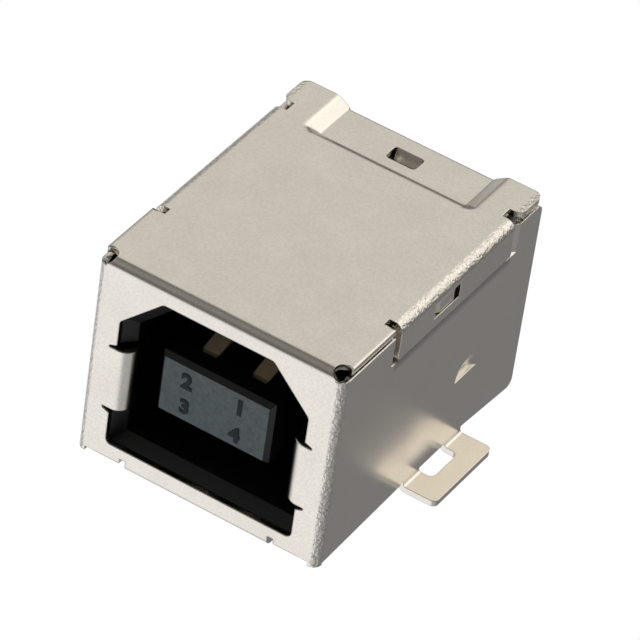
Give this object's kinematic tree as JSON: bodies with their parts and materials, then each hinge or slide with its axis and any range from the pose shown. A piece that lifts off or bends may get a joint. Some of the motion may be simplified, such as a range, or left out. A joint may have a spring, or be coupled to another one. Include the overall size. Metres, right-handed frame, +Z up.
{
  "type": "usb-b socket",
  "caption": "Surface-mount right-angle USB type B socket: folded plated shell with side solder tabs, black insulator with tongue, stamped contacts.",
  "frame": {"origin": "on the board plane, under the middle of the whole part from the front face to the ends of the solder feet", "axes": "+Z up from the board, +X to the right seen from the plug side, +Y from the plug opening towards the solder feet"},
  "size_m": [0.0154, 0.0168, 0.0108],
  "materials": {
    "shell": "satin nickel plating",
    "insulator": "fine spark-eroded",
    "contacts": "gold-flashed bronze"
  },
  "bodies": {
    "root": {"shell": "shell", "insulator": "insulator", "contact_1": "contacts", "contact_2": "contacts", "contact_3": "contacts", "contact_4": "contacts"}
  },
  "joints": []
}
